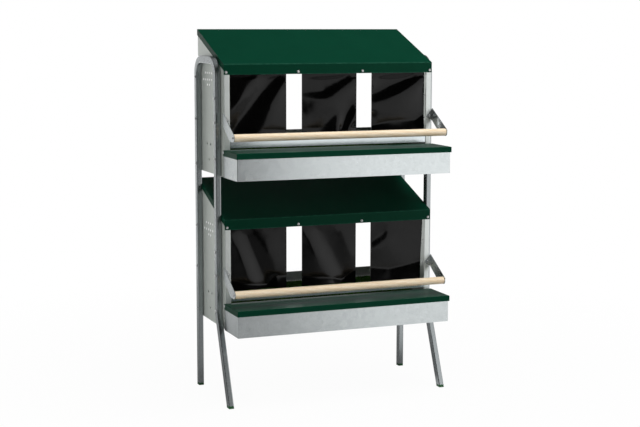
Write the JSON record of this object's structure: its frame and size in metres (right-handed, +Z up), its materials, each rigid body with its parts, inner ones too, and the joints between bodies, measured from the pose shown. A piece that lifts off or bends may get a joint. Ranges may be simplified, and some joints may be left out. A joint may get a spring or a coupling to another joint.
{
  "type": "chicken nesting box",
  "caption": "Tiered roll-away laying nest for hens on tubular leg frames, with sloping roofs, hanging entrance curtains, dowel perches and egg trays under hinged lids.",
  "frame": {"origin": "on the floor, in the middle of the outer box", "axes": "+Z up, +Y to the back, +X to the right as seen from the front"},
  "size_m": [0.963, 0.532, 1.4986],
  "materials": {
    "green_paint": "dark green coil coating, satin",
    "galvanised_sheet": "hot-dip galvanised sheet with fine spangle",
    "galvanised_tube": "galvanised tube, drawn finish",
    "zinc_hardware": "zinc plated",
    "curtain_film": "black flexible sheet, semi-gloss, creased",
    "beech": "planed beech dowel, plain",
    "turf": "artificial turf",
    "green_cap": "moulded green cap"
  },
  "bodies": {
    "stand": {"frame_bolts": "zinc_hardware", "frame_nuts": "zinc_hardware", "frame_spacers": "zinc_hardware", "left_arch_sleeve": "galvanised_tube", "left_front_foot_cap": "green_cap", "left_front_leg_tube": "galvanised_tube", "left_rear_foot_cap": "green_cap", "left_rear_leg_tube": "galvanised_tube", "lower_bracket_bolts": "zinc_hardware", "lower_curtain_rail": "galvanised_sheet", "lower_egg_tray": "galvanised_sheet", "lower_fascia_screws": "zinc_hardware", "lower_left_perch_bracket": "galvanised_sheet", "lower_left_side_panel": "galvanised_sheet", "lower_lid_pivot_nuts": "zinc_hardware", "lower_lid_pivot_screws": "zinc_hardware", "lower_nest_floor": "galvanised_sheet", "lower_perch": "beech", "lower_perch_screws": "zinc_hardware", "lower_rear_panel": "galvanised_sheet", "lower_right_perch_bracket": "galvanised_sheet", "lower_right_side_panel": "galvanised_sheet", "lower_roof": "green_paint", "lower_threshold": "galvanised_sheet", "lower_tray_screws": "zinc_hardware", "lower_turf_mat": "turf", "right_arch_sleeve": "galvanised_tube", "right_front_foot_cap": "green_cap", "right_front_leg_tube": "galvanised_tube", "right_rear_foot_cap": "green_cap", "right_rear_leg_tube": "galvanised_tube", "upper_bracket_bolts": "zinc_hardware", "upper_curtain_rail": "galvanised_sheet", "upper_egg_tray": "galvanised_sheet", "upper_fascia_screws": "zinc_hardware", "upper_left_perch_bracket": "galvanised_sheet", "upper_left_side_panel": "galvanised_sheet", "upper_lid_pivot_nuts": "zinc_hardware", "upper_lid_pivot_screws": "zinc_hardware", "upper_nest_floor": "galvanised_sheet", "upper_perch": "beech", "upper_perch_screws": "zinc_hardware", "upper_rear_panel": "galvanised_sheet", "upper_right_perch_bracket": "galvanised_sheet", "upper_right_side_panel": "galvanised_sheet", "upper_roof": "green_paint", "upper_threshold": "galvanised_sheet", "upper_tray_screws": "zinc_hardware", "upper_turf_mat": "turf"},
    "upper_left_curtain": {"upper_left_curtain": "curtain_film"},
    "upper_middle_curtain": {"upper_middle_curtain": "curtain_film"},
    "upper_right_curtain": {"upper_right_curtain": "curtain_film"},
    "upper_egg_lid": {"upper_egg_lid": "green_paint"},
    "lower_left_curtain": {"lower_left_curtain": "curtain_film"},
    "lower_middle_curtain": {"lower_middle_curtain": "curtain_film"},
    "lower_right_curtain": {"lower_right_curtain": "curtain_film"},
    "lower_egg_lid": {"lower_egg_lid": "green_paint"}
  },
  "joints": [
    {"name": "upper_left_curtain_swing", "type": "hinge", "parent": "stand", "child": "upper_left_curtain", "pos_m": [-0.307, -0.072, 1.326], "axis": [1, 0, 0], "range_deg": [-60, 80]},
    {"name": "upper_middle_curtain_swing", "type": "hinge", "parent": "stand", "child": "upper_middle_curtain", "pos_m": [0, -0.072, 1.326], "axis": [1, 0, 0], "range_deg": [-60, 80]},
    {"name": "upper_right_curtain_swing", "type": "hinge", "parent": "stand", "child": "upper_right_curtain", "pos_m": [0.307, -0.072, 1.326], "axis": [1, 0, 0], "range_deg": [-60, 80]},
    {"name": "upper_egg_lid_lift", "type": "hinge", "parent": "stand", "child": "upper_egg_lid", "pos_m": [0, -0.1, 1.016], "axis": [-1, 0, 0], "range_deg": [0, 18]},
    {"name": "lower_left_curtain_swing", "type": "hinge", "parent": "stand", "child": "lower_left_curtain", "pos_m": [-0.307, -0.072, 0.708], "axis": [1, 0, 0], "range_deg": [-60, 80]},
    {"name": "lower_middle_curtain_swing", "type": "hinge", "parent": "stand", "child": "lower_middle_curtain", "pos_m": [0, -0.072, 0.708], "axis": [1, 0, 0], "range_deg": [-60, 80]},
    {"name": "lower_right_curtain_swing", "type": "hinge", "parent": "stand", "child": "lower_right_curtain", "pos_m": [0.307, -0.072, 0.708], "axis": [1, 0, 0], "range_deg": [-60, 80]},
    {"name": "lower_egg_lid_lift", "type": "hinge", "parent": "stand", "child": "lower_egg_lid", "pos_m": [0, -0.1, 0.398], "axis": [-1, 0, 0], "range_deg": [0, 18]}
  ]
}
